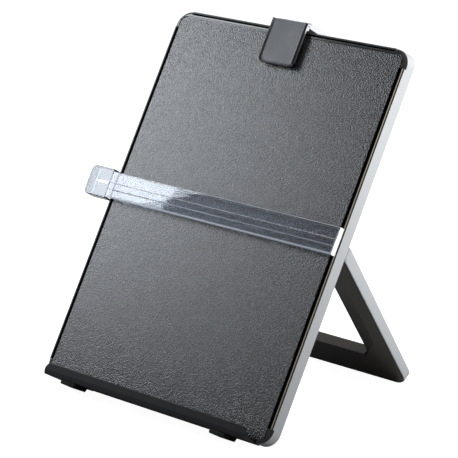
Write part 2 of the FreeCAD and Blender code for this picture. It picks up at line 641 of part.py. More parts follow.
def clip_lever():
    """Light lever under the leaf: tongue, bridge with side cheeks, ears and thumb tail."""
    outer, inner = LEAF_BACK, LEAF_BACK - LEVER_T
    tongue = crook(outer, inner, CLIP_FOOT + 4.0, -1.0)
    bridge_back = -25.0
    top = CROWN_Y + LEAF_BACK + LEAF_T
    roof = bar([(CROWN_Y + inner, -1.0, 0), (top, -1.0, 0), (top, bridge_back, 2.5),
                (300.0, -28.5, 0.8), (300.0, -27.0, 0.6), (CROWN_Y + inner, bridge_back + 1.8, 1.0)],
               -CLIP_HALF, CLIP_HALF)
    lever = tongue.fuse(roof)
    cheek_low, cheek_in = 328.3, 1.4
    cheek = [(cheek_low, -0.4, 0.5), (325.6, -0.3, 0), (325.6, inner + 0.1, 0),
             (CROWN_Y, inner + 0.1, 0), (CROWN_Y + inner + 0.1, -1.0, 0),
             (top - 0.7, -1.0, 0), (top - 0.7, bridge_back + 1.5, 0),
             (PIVOT_Y, PIVOT_Z - 6.3, 0), (PIVOT_Y - EAR_R, PIVOT_Z - 3.0, 2.0),
             (PIVOT_Y - EAR_R, PIVOT_Z + EAR_R, 3.0), (cheek_low, PIVOT_Z + EAR_R, 3.0)]
    for x0 in (-CLIP_HALF, CLIP_HALF - cheek_in):
        lever = lever.fuse(bar(cheek, x0, x0 + cheek_in))
    lever = lever.cut(rod(1.5 + RUN, -CLIP_HALF - 1, CLIP_HALF + 1, PIVOT_Y, PIVOT_Z))
    view = plate([(-CLIP_HALF, CLIP_FOOT - 10, 0), (CLIP_HALF, CLIP_FOOT - 10, 0),
                  (CLIP_HALF, 400, 0), (-CLIP_HALF, 400, 0)], -60, 20)
    return lever.common(view)


def clip_saddle():
    """Slider that hooks into the top channel, crosses the edge and carries the hinge."""
    half = 11.5
    neck_low = BOARD_H - NOTCH_TOP + 0.3
    neck_high = BOARD_H - WALL - 0.1 - RAIL_T_TOP - 0.3
    over, back = BOARD_H + 0.3, BACK - 0.4
    sheet = 1.0
    section = [(neck_low - 2.2, -5.6, 0), (neck_high, -5.6, 0), (neck_high, 0.2, 0),
               (over, 0.2, 0), (over, back, 0), (304.0, back, 0), (304.0, back - sheet, 0.5),
               (over + sheet, back - sheet, 0.9), (over + sheet, 1.2, 0.8), (neck_low, 1.2, 0),
               (neck_low, -PANEL_T - 0.35, 0), (neck_low - 2.2, -PANEL_T - 0.35, 0)]
    body = bar(section, -half, half)
    for x0 in (-half, half - 2.0):
        ear = bar([(PIVOT_Y - EAR_R, back - sheet + 0.3, 0), (PIVOT_Y + EAR_R, back - sheet + 0.3, 0),
                   (PIVOT_Y + EAR_R, PIVOT_Z - EAR_R, 3.4), (PIVOT_Y - EAR_R, PIVOT_Z - EAR_R, 3.4)],
                  x0, x0 + 2.0)
        body = body.fuse(ear)
    return body.cut(rod(1.5, -half - 1, half + 1, PIVOT_Y, PIVOT_Z))


def clip_pin():
    return rod(1.5, -CLIP_HALF + 0.1, CLIP_HALF - 0.1, PIVOT_Y, PIVOT_Z)


def clip_pad():
    """Rubber strip under the tongue's lower end, which presses on the paper."""
    section = [(CLIP_FOOT + 4.6, LEAF_BACK - LEVER_T, 0), (CLIP_FOOT + 5.2, 0.9, 0.4),
               (CLIP_FOOT + 7.2, 0.3, 0.6), (CLIP_FOOT + 9.2, 0.9, 0.4),
               (CLIP_FOOT + 9.8, LEAF_BACK - LEVER_T, 0)]
    return bar(section, -CLIP_HALF + 3.0, CLIP_HALF - 3.0)


def clip_spring():
    """Torsion spring round the clip pin: one leg lies on the saddle, one stops the lever
    where it is fully squeezed."""
    wire_r, coil_r, pitch, turns, steps, sides = 0.45, 2.3, 1.25, 5.5, 10, 5
    lever_leg, saddle_leg = V(0, -5.0, -0.2), V(0, -11.0, 1.4)

    def ring(middle, outward):
        corners = []
        for k in range(sides):
            turn = 2 * math.pi * k / sides
            corners.append(middle + outward * (wire_r * math.cos(turn))
                           + X_AXIS * (wire_r * math.sin(turn)))
        return Part.makePolygon(corners + corners[:1])

    rings = []
    count = int(turns * steps)
    for i in range(count + 1):
        angle = 2 * math.pi * i / steps
        outward = V(0, math.sin(angle), -math.cos(angle))
        middle = V(pitch * (i / steps - turns / 2), PIVOT_Y, PIVOT_Z) + outward * coil_r
        if i == 0:
            rings.append(ring(middle + lever_leg, outward))
        rings.append(ring(middle, outward))
        if i == count:
            rings.append(ring(middle + saddle_leg, outward))
    return Part.makeLoft(rings, True, True)


# ---- assembly -----------------------------------------------------------------------
def placed(shape):
    """Lean a piece back with the board and stand it on the desk."""
    moved = shape.copy()
    moved.rotate(V(0, 0, 0), X_AXIS, TILT)
    moved.translate(V(0, 0, -GROUND))
    return moved


def build():
    keep("front_panel", front_panel())
    keep("rear_shell", rear_shell())
    for side, name in ((-1, "left"), (1, "right")):
        keep("side_rail_" + name, side_rail(side))
        keep("foot_pad_" + name, foot_pad(side))
        keep("heel_pad_" + name, heel_pad(side))
        keep("guide_shoe_" + name, shoe(side))
        keep("hinge_pin_" + name, opened(pin_shape(side)))
    keep("top_rail", top_rail())
    keep("ledge", ledge())
    keep("shell_screws", shell_screws())
    keep("ledge_screws", ledge_screws())
    keep("kickstand_frame", opened(kickstand_frame()))
    keep("kickstand_cover", opened(kickstand_cover()))
    keep("line_guide", line_guide())
    keep("clip_leaf", clip_leaf())
    keep("clip_lever", clip_lever())
    keep("clip_saddle", clip_saddle())
    keep("clip_pin", clip_pin())
    keep("clip_pad", clip_pad())
    keep("clip_spring", clip_spring())

    standing = {name: placed(shape) for name, shape in parts.items()}
    whole = FreeCAD.BoundBox()
    for shape in standing.values():
        whole.add(shape.optimalBoundingBox(False))
    shift = V(-(whole.XMin + whole.XMax) / 2, -(whole.YMin + whole.YMax) / 2, 0)
    os.makedirs("parts", exist_ok=True)
    for name, shape in standing.items():
        shape.translate(shift)
        shape.exportStep("parts/" + name + ".step")
        print("%-18s solids %d  volume %.1f  valid %s" %
              (name, len(shape.Solids), shape.Volume / 1000, shape.isValid()))
    print("open angle %.3f  shift %.3f %.3f  ground %.3f" % (OPEN, shift.x, shift.y, GROUND))
    print("height %.2f  bottom %.3f" % (whole.ZMax, whole.ZMin))


build()
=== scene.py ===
import math

import bmesh
import bpy
from bpy.props import FloatProperty, FloatVectorProperty, PointerProperty
from mathutils import Matrix, Vector


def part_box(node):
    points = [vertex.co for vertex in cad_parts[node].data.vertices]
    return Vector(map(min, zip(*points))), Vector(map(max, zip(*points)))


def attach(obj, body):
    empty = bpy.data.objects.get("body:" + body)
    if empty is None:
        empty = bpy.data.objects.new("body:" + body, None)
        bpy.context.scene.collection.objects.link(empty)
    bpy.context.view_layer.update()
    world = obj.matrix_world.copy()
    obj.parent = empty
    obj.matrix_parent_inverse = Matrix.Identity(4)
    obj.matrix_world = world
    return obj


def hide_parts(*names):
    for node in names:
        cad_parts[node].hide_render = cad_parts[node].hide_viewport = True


bl_info = {
    "name": "Copy Holder Finish",
    "version": (1, 0, 0),
    "blender": (4, 5, 0),
    "location": "3D View > Sidebar > Holder",
    "description": "Finishes and moulded details for a desk copy holder with a line guide",
    "category": "Object",
}

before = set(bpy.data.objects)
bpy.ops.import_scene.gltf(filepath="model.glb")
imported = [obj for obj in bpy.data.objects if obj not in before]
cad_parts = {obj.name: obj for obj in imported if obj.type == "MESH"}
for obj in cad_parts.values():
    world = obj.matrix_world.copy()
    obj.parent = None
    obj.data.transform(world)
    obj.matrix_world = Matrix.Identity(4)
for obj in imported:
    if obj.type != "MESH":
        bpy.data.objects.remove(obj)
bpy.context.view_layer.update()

MM = 0.001
LEAN = math.radians(33.5)                       # the board leans back from upright
UP_BOARD = Vector((0.0, math.sin(LEAN), math.cos(LEAN)))
OUT_OF_BOARD = Vector((0.0, -math.cos(LEAN), math.sin(LEAN)))
ACROSS = Vector((1.0, 0.0, 0.0))


def board_middle():
    """Middle of the board's foot on its front face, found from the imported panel."""
    low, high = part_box("front_panel")
    points = [v.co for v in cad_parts["front_panel"].data.vertices]
    front = max(p.dot(OUT_OF_BOARD) for p in points)
    foot = min(p.dot(UP_BOARD) for p in points)
    return ACROSS * (low.x + high.x) / 2 + OUT_OF_BOARD * front + UP_BOARD * foot


ORIGIN = board_middle()


def on_board(x, y, z):
    """Point from millimetres across, up and out of the board's front face."""
    return ORIGIN + (ACROSS * x + UP_BOARD * y + OUT_OF_BOARD * z) * MM


# ---- sizes and colours that a user would change --------------------------------------
def colour(name, description, default):
    return FloatVectorProperty(name=name, description=description, default=default,
                               subtype="COLOR", size=3, min=0.0, max=1.0)


def length(name, description, default, low=0.0, high=0.5):
    return FloatProperty(name=name, description=description, default=default,
                         min=low, max=high, unit="LENGTH", precision=5)


class HolderColours(bpy.types.PropertyGroup):
    """Colours of the holder's mouldings."""

    panel: colour("Panel", "Grained black plastic of the board's face", (0.022, 0.021, 0.024))
    satin: colour("Satin black", "Smooth black plastic of the ledge and the rails",
                  (0.018, 0.018, 0.020))
    # Painted highlight: a cream line standing for the glint on the right rail's lip.
    painted_bead_highlight: colour("Bead", "Cream line along the right rail", (0.30, 0.26, 0.18))
    stand: colour("Stand", "Warm black plastic of the stand's frame", (0.022, 0.017, 0.013))
    silver: colour("Silver", "Satin silver paint of the shell, the stand's cover and the lever",
                   (0.41, 0.43, 0.455))
    clear: colour("Clear", "Tint of the clear guide", (0.76, 0.81, 0.90))
    shoe: colour("Shoe", "Milky plastic of the guide's slide blocks", (0.80, 0.82, 0.86))
    leaf: colour("Clip leaf", "Bluish black of the clip's front leaf", (0.060, 0.064, 0.072))
    rubber: colour("Rubber", "Black rubber of the feet and the clip's pad", (0.012, 0.012, 0.012))
    steel: colour("Steel", "Plated steel of screws, pins and the spring", (0.56, 0.56, 0.55))


class HolderSizes(bpy.types.PropertyGroup):
    """Scale of the grain and of the finer surface marks."""

    grain: length("Grain", "Size of one pebble of the board's grain", 0.0011)
    grain_depth: length("Grain depth", "Height of the grain", 0.00032)
    flake: length("Flake", "Size of the paint's flakes", 0.0006)
    bow: length("Bow", "Radius of the clear guide's slightly bowed front", 0.20, high=2.0)
    ripple: length("Ripple", "Height of the moulding waves in the clear guide", 0.00012)
    haze: length("Haze", "Size of the soft waves in smooth mouldings", 0.012)


class StageSettings(bpy.types.PropertyGroup):
    """Camera, floor and lights."""

    heading: FloatProperty(name="Heading", description="Direction the camera looks in, from +Y",
                           default=math.radians(41.702), subtype="ANGLE")
    pitch: FloatProperty(name="Pitch", description="Camera's tilt below the horizon",
                         default=math.radians(18.468), subtype="ANGLE")
    roll: FloatProperty(name="Roll", description="Camera's turn about its own view",
                        default=math.radians(-1.344), subtype="ANGLE")
    lens: FloatProperty(name="Lens", description="Focal length in millimetres on a 36 mm sensor",
                        default=182.75)
    sky: FloatProperty(name="Sky", description="Strength of the even white surroundings",
                       default=0.30, min=0.0)
    key: FloatProperty(name="Key", description="Power of the large panel over the left shoulder",
                       default=3.0, min=0.0, unit="POWER")
    key_distance: length("Key distance", "Distance of the panel from the board", 0.65, high=5.0)
    key_width: length("Key width", "Width of the panel", 0.30, high=5.0)
    key_height: length("Key height", "Height of the panel", 0.46, high=5.0)
    key_rise: length("Key rise", "How far the panel's middle lies up its own plane", 0.08, high=5.0)
    key_slant: FloatProperty(name="Key slant", description="Turn of the panel in its own plane",
                             default=math.radians(-24.0), subtype="ANGLE")
    rim: FloatProperty(name="Rim", description="Power of the spot behind the right shoulder",
                       default=415.0, min=0.0, unit="POWER")
    back: FloatProperty(name="Back", description="Power of the panel behind the left shoulder",
                        default=2.0, min=0.0, unit="POWER")


# ---- shader maths ----------------------------------------------------------------------
class Value:
    """A socket in a material's node tree; arithmetic on it adds Math nodes."""

    def __init__(self, tree, socket):
        self.tree = tree
        self.socket = socket

    def maths(self, operation, *others):
        return self.tree.node("ShaderNodeMath", {"operation": operation},
                              dict(enumerate((self,) + others)))

    def __add__(self, other):
        return self.maths("ADD", other)

    def __sub__(self, other):
        return self.maths("SUBTRACT", other)

    def __rsub__(self, other):
        return self.tree.node("ShaderNodeMath", {"operation": "SUBTRACT"}, {0: other, 1: self})

    def __mul__(self, other):
        return self.maths("MULTIPLY", other)

    __radd__ = __add__
    __rmul__ = __mul__

    def size(self):
        return self.maths("ABSOLUTE")

    def above(self, edge, blur=0.00015):
        """1 above an edge and 0 below it, with a short blend."""
        return self.ramp(edge - blur, edge + blur)

    def ramp(self, low, high):
        """0 below low, 1 above high and straight between them."""
        return self.tree.node("ShaderNodeMapRange", {"clamp": True},
                              {"Value": self, "From Min": low, "From Max": high})

    def along(self, axis):
        """Length of this vector along an axis."""
        return self.tree.node("ShaderNodeVectorMath", {"operation": "DOT_PRODUCT"},
                              {0: self, 1: tuple(axis)}, "Value")


class Finish:
    """A material with one Principled shader, built up by short calls."""

    def __init__(self, name):
        self.material = bpy.data.materials.new(name)
        self.material.use_nodes = True
        self.nodes = self.material.node_tree.nodes
        self.links = self.material.node_tree.links
        self.shader = self.nodes["Principled BSDF"]
        self.place = self.node("ShaderNodeTexCoord", {}, {}, "Object")
        self.rounding = None

    def across(self):
        """Metres to the right of the board's middle."""
        return self.place.along(ACROSS) - ORIGIN.dot(ACROSS)

    def up(self):
        """Metres up the board from its foot."""
        return self.place.along(UP_BOARD) - ORIGIN.dot(UP_BOARD)

    def out(self):
        """Metres out of the board's front face."""
        return self.place.along(OUT_OF_BOARD) - ORIGIN.dot(OUT_OF_BOARD)

    def soften_edges(self, radius):
        """Shade sharp edges as if they were rounded."""
        self.rounding = self.node("ShaderNodeBevel", {"samples": BEVEL_SAMPLES}, {"Radius": radius})

    def node(self, kind, settings, inputs, output=0):
        """Add a node: its settings first, then a value or a link for each socket."""
        made = self.nodes.new(kind)
        for key, value in settings.items():
            setattr(made, key, value)
        self.feed(made, inputs)
        return Value(self, made.outputs[output])

    def feed(self, made, inputs):
        for key, value in inputs.items():
            if isinstance(value, Value):
                self.links.new(value.socket, made.inputs[key])
            else:
                made.inputs[key].default_value = value

    def set(self, **sockets):
        """Feed the Principled shader; an underscore stands for a space."""
        self.feed(self.shader, {name.replace("_", " "): value for name, value in sockets.items()})

    def noise(self, size, detail=2.0):
        """Soft noise from 0 to 1 whose blobs are about size metres across."""
        return self.node("ShaderNodeTexNoise", {},
                         {"Vector": self.place, "Scale": 1.0 / size, "Detail": detail}, "Fac")

    def cells(self, size, feature="SMOOTH_F1"):
        """Distance from the middles of cells that are about size metres across."""
        inputs = {"Vector": self.place, "Scale": 1.0 / size}
        if feature == "SMOOTH_F1":
            inputs["Smoothness"] = CELL_BLEND
        return self.node("ShaderNodeTexVoronoi", {"feature": feature}, inputs, "Distance")

    def mix(self, amount, first, second):
        """Blend two colours by an amount from 0 to 1."""
        return self.node("ShaderNodeMix", {"data_type": "RGBA"},
                         {0: amount, 6: rgba(first), 7: rgba(second)}, 2)

    def bump(self, height, distance):
        """Relief whose height of 1 stands for a distance in metres."""
        inputs = {"Height": height, "Distance": distance}
        if self.rounding:
            inputs["Normal"] = self.rounding
        return self.node("ShaderNodeBump", {}, inputs, "Normal")


def rgba(value):
    """A colour with its alpha, or a link as it is."""
    return value if isinstance(value, Value) or len(value) == 4 else (*value, 1.0)


def shade(value, factor):
    """The same colour, lighter or darker."""
    return tuple(min(1.0, part * factor) for part in value)


# Places on the holder at rest, in metres across, up and out of the board's front face
FIELD_HALF, FIELD_TOP = 0.1159, 0.3200         # grained field inside its groove
FIELD_LEVEL = -0.0003                          # the field's face lies above this
FLANK = 0.1188                                 # the panel's own side faces begin here
BEAD_LEVEL, BEAD_BLUR = -0.00072, 0.00004      # the rail's bead begins here
GUIDE_MIDDLE, GUIDE_HALF = 0.1649, 0.0112      # line guide: middle and half its height
GUIDE_END = 0.1194                             # its right end wall
GUIDE_FRONT, GUIDE_RISE = 0.0052, 0.0030       # its front face, and where its edges light up
GUIDE_LINES = ((0.1665, 0.22), (0.1607, 0.40))  # fine lines along it and how light their painted highlights are
LINE_CORE, LINE_HALF = 0.0002, 0.0007          # half a line's solid core and half its width
LOW_BAND, LOW_BLUR, LOW_LIGHT = 0.0013, 0.0005, 0.8    # the guide's lit lower edge
TOP_BAND, TOP_BLUR, TOP_LIGHT = 0.0006, 0.0002, 0.35   # and its lit upper edge
END_LIGHT = 0.75                               # how light the painted highlight on the guide's right end wall is
TAB_END, TAB_ROOT = -0.1449, -0.1206           # ends of the guide's boxed finger tab
TAB_MIDDLE, TAB_HALF = 0.1653, 0.01275
TAB_WALL, TAB_FRONT = 0.0016, 0.0045           # wall of the tab, back of its front face
LEVER_HALF, LEVER_FLANK_TOP = 0.0173, 0.3235   # clip lever's flanks with painted shade: inside and top

# Finer marks
EDGE = 0.0003                      # rounding that moulded and painted edges show
SPECK = 0.0007                     # specks on smooth mouldings
SKIN = 0.00012                     # relief of smooth mouldings
WAVES_ACROSS, WAVES_UP = 9.0, 130.0            # waves in a metre of the clear guide
TAB_PAINTED_SHADE, WALL_PAINTED_SHADE = 0.55, 0.16               # painted shade: how far the tab and its walls are greyed
PAINTED_HIGHLIGHT_COLOUR = (0.80, 0.85, 0.95)                  # colour of the painted highlights on the guide's edges and lines
FLANK_PAINTED_SHADE, FLANK_BLUR = 0.12, 0.0001          # painted shade on the clip's flanks, their blend
LEVER_PAINTED_LIGHT, LEVER_BEND_BLUR = 1.15, 0.002      # painted light brightening its lever, blend at the bend
BEVEL_SAMPLES, CELL_BLEND = 4, 0.6             # for rounded edges and for smooth cells


# ---- materials --------------------------------------------------------------------------
def colours():
    return bpy.context.scene.holder_colours


def sizes():
    return bpy.context.scene.holder_sizes


def grained_plastic():
    """Black plastic: pebble grain on the field, smooth outside its groove and behind, with a darker
    base there as painted shade.
    """
    finish = Finish("grained_plastic")
    finish.soften_edges(EDGE)
    base, grain = tuple(colours().panel), sizes().grain
    inside = 1.0 - finish.across().size().above(FIELD_HALF)
    field = inside * (1.0 - finish.up().above(FIELD_TOP)) * finish.out().above(FIELD_LEVEL)
    flank = finish.across().size().above(FLANK)
    pebble = finish.cells(grain)
    patch = finish.noise(grain * 0.9)
    cloud = finish.noise(0.05)
    height = (pebble * 0.5 + patch * 0.9) * field
    tone = patch.ramp(0.40, 0.60) * 0.85 + cloud * 0.15
    grained = finish.mix(tone, shade(base, 0.1), shade(base, 2.0))
    # Painted shade: outside the grained field the base is darkened, standing for the shade on the
    # rounded corner caps.
    finish.set(Base_Color=finish.mix(field, shade(base, 0.45), grained),
               Roughness=0.16 + flank * 0.35 + field * (patch.ramp(0.3, 0.7) * 0.14 - 0.02),
               IOR=1.65,
               Normal=finish.bump(height, sizes().grain_depth))
    return finish.material


def rail_plastic():
    """Black channel rail; on the right side one, a cream painted highlight runs along its lip."""
    finish = Finish("rail_black")
    finish.soften_edges(EDGE)
    base = tuple(colours().satin)
    haze = finish.noise(sizes().haze, detail=3.0)
    right_side = finish.across().above(0.0) * (1.0 - finish.up().above(FIELD_TOP))
    # Painted highlight: cream on the right rail's lip, from the level where its rounding begins.
    painted_bead_highlight = finish.out().above(BEAD_LEVEL, BEAD_BLUR) * right_side
    black = finish.mix(haze, shade(base, 0.45), shade(base, 0.7))
    finish.set(Base_Color=finish.mix(painted_bead_highlight, black, tuple(colours().painted_bead_highlight)),
               Roughness=0.38 + haze * 0.08)
    return finish.material


def moulded_skin(finish):
    """Flow haze and specks of a smooth moulding, the dullness they add, and their relief."""
    haze = finish.noise(sizes().haze, detail=3.0)
    speck = finish.noise(SPECK)
    return haze, haze * 0.07 + speck * 0.05, finish.bump(haze * 0.6 + speck * 0.05, SKIN)


def satin_plastic(name, base, roughness, gloss):
    """Smooth moulded plastic with a faint flow haze."""
    finish = Finish(name)
    finish.soften_edges(EDGE)
    haze, dullness, relief = moulded_skin(finish)
    finish.set(Base_Color=finish.mix(haze, shade(base, 0.86), shade(base, 1.16)),
               Roughness=roughness + dullness,
               Specular_IOR_Level=gloss,
               Normal=relief)
    return finish.material


def leaf_plastic():
    """Bluish black plastic of the clip's leaf, duller on its flanks and darkened there with painted
    shade.
    """
    finish = Finish("leaf_black")
    base = tuple(colours().leaf)
    haze, dullness, relief = moulded_skin(finish)
    flank = finish.across().size().above((LEAF_HALF - LEAF_FLANK) * MM, FLANK_BLUR)
    face = finish.mix(haze, shade(base, 0.9), shade(base, 1.14))
    # Painted shade: the flanks get a near-black base.
    finish.set(Base_Color=finish.mix(flank, face, shade(base, FLANK_PAINTED_SHADE)),
               Roughness=0.22 + dullness + flank * 0.4,
               Normal=relief)
    return finish.material


def silver_paint(name, painted_lever_shading=False):
    """Satin silver paint with fine flakes; on the lever it is even, with painted light brightening
    it and painted shade darkening its flanks.
    """
    finish = Finish(name)
    finish.soften_edges(EDGE)
    base, size = tuple(colours().silver), sizes().flake
    flake = finish.cells(size, "F1")
    orange_peel = finish.noise(0.0025, detail=3.0)
    if painted_lever_shading:
        # Painted shade darkens the lever's flanks below its bend; painted light brightens the rest
        # of the lever.
        side = finish.across().size().above(LEVER_HALF, FLANK_BLUR)
        flank = side * (1.0 - finish.up().above(LEVER_FLANK_TOP, LEVER_BEND_BLUR))
        paint = finish.mix(flank, shade(base, LEVER_PAINTED_LIGHT), shade(base, FLANK_PAINTED_SHADE))
    else:
        tone = flake.ramp(0.1, 0.8) * 0.5 + finish.noise(0.04) * 0.5
        paint = finish.mix(tone, shade(base, 0.94), shade(base, 1.05))
    finish.set(Base_Color=paint,
               Metallic=0.25,
               Roughness=0.40 + flake * 0.10,
               Normal=finish.bump(orange_peel * 0.7 + flake * 0.12, 0.00003))
    return finish.material


def clear_plastic():
    """Polished clear moulding: bowed front, boxed tab greyed with painted shade, painted highlights
    on its edges and lines.
    """
    finish = Finish("clear_plastic")
    base = tuple(colours().clear)
    across, up, out = finish.across(), finish.up(), finish.out()
    drawn = finish.node("ShaderNodeCombineXYZ", {},
                        {0: across * WAVES_ACROSS, 1: up * WAVES_UP})
    wave = finish.node("ShaderNodeTexNoise", {},
                       {"Vector": drawn, "Scale": 1.0, "Detail": 1.0}, "Fac")
    dust = finish.noise(0.0015, detail=3.0)
    rise = up - GUIDE_MIDDLE
    bow = rise * rise * (-0.5 / sizes().bow)
    tab = 1.0 - across.above(TAB_ROOT)
    rim = (1.0 - across.above(TAB_END + TAB_WALL)).maths(
        "MAXIMUM", (up - TAB_MIDDLE).size().above(TAB_HALF - TAB_WALL))
    wall = tab * rim * (1.0 - out.above(TAB_FRONT))
    front = out.above(GUIDE_FRONT)
    # Painted shade: the tab is greyed, and its walls more.
    waves_and_tab_shade = finish.mix(tab, finish.mix(wave, shade(base, 0.97), base), shade(base, TAB_PAINTED_SHADE))
    finish.set(Base_Color=finish.mix(wall, waves_and_tab_shade, shade(base, WALL_PAINTED_SHADE)),
               Roughness=0.035 + dust.ramp(0.55, 0.8) * 0.05,
               IOR=1.49,
               Transmission_Weight=1.0,
               Coat_Weight=0.45,
               Normal=finish.bump((bow + wave * sizes().ripple) * front, 1.0))
    # Painted highlights: pale diffuse bands on the lower and upper edges, the fine lines and the
    # right end wall.
    low_edge = 1.0 - up.above(GUIDE_MIDDLE - GUIDE_HALF + LOW_BAND, LOW_BLUR)
    top_edge = up.above(GUIDE_MIDDLE + GUIDE_HALF - TOP_BAND, TOP_BLUR)
    painted_highlight = (low_edge * LOW_LIGHT + top_edge * TOP_LIGHT) * out.above(GUIDE_RISE)
    for line, light in GUIDE_LINES:
        painted_highlight = painted_highlight + (1.0 - (up - line).size().ramp(LINE_CORE, LINE_HALF)) * front * light
    painted_highlight = (painted_highlight * (1.0 - tab)).maths("MAXIMUM", across.above(GUIDE_END) * END_LIGHT)
    painted_highlight_shader = finish.node("ShaderNodeBsdfDiffuse", {}, {"Color": rgba(PAINTED_HIGHLIGHT_COLOUR)})
    clear = Value(finish, finish.shader.outputs["BSDF"])
    surface = finish.node("ShaderNodeMixShader", {}, {"Fac": painted_highlight, 1: clear, 2: painted_highlight_shader})
    finish.feed(finish.nodes["Material Output"], {"Surface": surface})
    return finish.material


def milky_plastic():
    """Slippery translucent plastic of the guide's slide blocks."""
    finish = Finish("milky_plastic")
    base = tuple(colours().shoe)
    cloud = finish.noise(0.004)
    finish.set(Base_Color=finish.mix(cloud, shade(base, 0.93), shade(base, 1.06)),
               Roughness=0.28 + cloud * 0.08,
               Subsurface_Weight=0.3,
               Subsurface_Scale=0.002,
               Normal=finish.bump(cloud, 0.00005))
    return finish.material


def rubber():
    """Matt black rubber with a fine, sand-like texture."""
    finish = Finish("matt_rubber")
    base = tuple(colours().rubber)
    speck = finish.noise(0.0005, detail=3.0)
    dust = finish.noise(0.006, detail=3.0)
    finish.set(Base_Color=finish.mix(dust.ramp(0.45, 0.8), base, shade(base, 2.2)),
               Roughness=0.72 + speck * 0.18,
               Specular_IOR_Level=0.25,
               Normal=finish.bump(speck, 0.00006))
    return finish.material


def plated_steel():
    """Bright zinc-plated steel with fine rolling lines."""
    finish = Finish("plated_steel")
    base = tuple(colours().steel)
    stretched = finish.node("ShaderNodeMapping", {},
                            {"Vector": finish.place, "Scale": (120.0, 3000.0, 3000.0)})
    lines = finish.node("ShaderNodeTexNoise", {}, {"Vector": stretched, "Scale": 1.0}, "Fac")
    stain = finish.noise(0.004, detail=3.0)
    finish.set(Base_Color=finish.mix(stain, shade(base, 0.85), shade(base, 1.1)),
               Metallic=1.0,
               Roughness=0.24 + lines * 0.16,
               Normal=finish.bump(lines, 0.00001))
    return finish.material


# ---- moulded pieces ------------------------------------------------------------------------
def keep_piece(name, data, material, slot_name, body, *replaced):
    """Put a piece in the scene on its body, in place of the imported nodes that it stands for."""
    data.materials.append(material)
    piece = bpy.data.objects.new(name, data)
    bpy.context.scene.collection.objects.link(piece)
    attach(piece, body)
    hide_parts(*replaced)


def smooth_mesh(name, shape, crease):
    """Mesh shaded smooth, but for corners sharper than the crease in degrees."""
    mesh = bpy.data.meshes.new(name)
    shape.to_mesh(mesh)
    shape.free()
    mesh.shade_smooth()
    mesh.set_sharp_from_angle(angle=math.radians(crease))
    return mesh


def rounded_bar(name, section, x0, x1, rounding):
    """Bar across the board with a section of (y, z) corners, every edge rounded, in mm."""
    shape = bmesh.new()
    near, far = [[shape.verts.new(on_board(x, y, z)) for y, z in section] for x in (x0, x1)]
    shape.faces.new(near)
    shape.faces.new(reversed(far))
    for i in range(len(section)):
        j = (i + 1) % len(section)
        shape.faces.new([near[i], near[j], far[j], far[i]])
    bmesh.ops.recalc_face_normals(shape, faces=shape.faces)
    bmesh.ops.bevel(shape, geom=shape.edges[:], offset=rounding * MM, segments=3, profile=0.5,
                    affect="EDGES", clamp_overlap=True)
    return smooth_mesh(name, shape, BAR_CREASE)


# Sizes of the moulded pieces, in millimetres
LEAF_HALF = 17.5                   # half width of the clip's leaf
LEAF_FOOT, LEAF_TOP = 292.5, 330.6
LEAF_BACK, LEAF_THICK = 3.2, 1.4
LEAF_RIM, LEAF_CORNER = 1.3, 4.0   # height of its rim, radius of its lower corners
LEAF_FLANK = 0.25                  # depth of its flanks, darkened with painted shade
RIM_ROUND, RIM_DROP = 0.35, 0.4    # width and depth of the rim's outer rounding
RIM_INSIDE, RIM_SLOPE = 0.5, 0.9   # where the rim starts to fall inward, and over what width
SAG, SAG_START, SAG_RUN = 0.16, 1.0, 12.0      # shallow dish inside the rim
NEAR_EDGE = (0.0, 0.08, 0.2, 0.35, 0.55, 0.8, 1.05, 1.3, 1.5, 2.2, 4.0)
ROWS_ABOVE = (7.0, 12.0, 18.0, 25.0, 32.0, LEAF_TOP - LEAF_FOOT)
INSETS_BEYOND = (7.0, 11.0, 14.5)
LEAF_CREASE, BAR_CREASE = 35.0, 50.0           # corners that stay sharp, in degrees


def leaf_edge_distance(x, along):
    """Distance from a point of the leaf to its outline, along being 0 at the foot."""
    side = LEAF_HALF - abs(x)
    if side < LEAF_CORNER and along < LEAF_CORNER:
        return LEAF_CORNER - math.hypot(LEAF_CORNER - side, LEAF_CORNER - along)
    return min(side, along)


def leaf_rise(distance):
    """Height of the leaf's front over its back: a rounded rim round a shallow dish."""
    short = 1.0 - min(distance, RIM_ROUND) / RIM_ROUND
    outer = RIM_DROP * math.sqrt(max(0.0, 1.0 - short ** 2)) - RIM_DROP
    fall = min(1.0, max(0.0, (distance - RIM_INSIDE) / RIM_SLOPE))
    smooth = fall * fall * (3.0 - 2.0 * fall)
    sag = SAG * min(1.0, max(0.0, (distance - SAG_START) / SAG_RUN))
    return LEAF_THICK + (LEAF_RIM + outer) * (1.0 - smooth) - sag


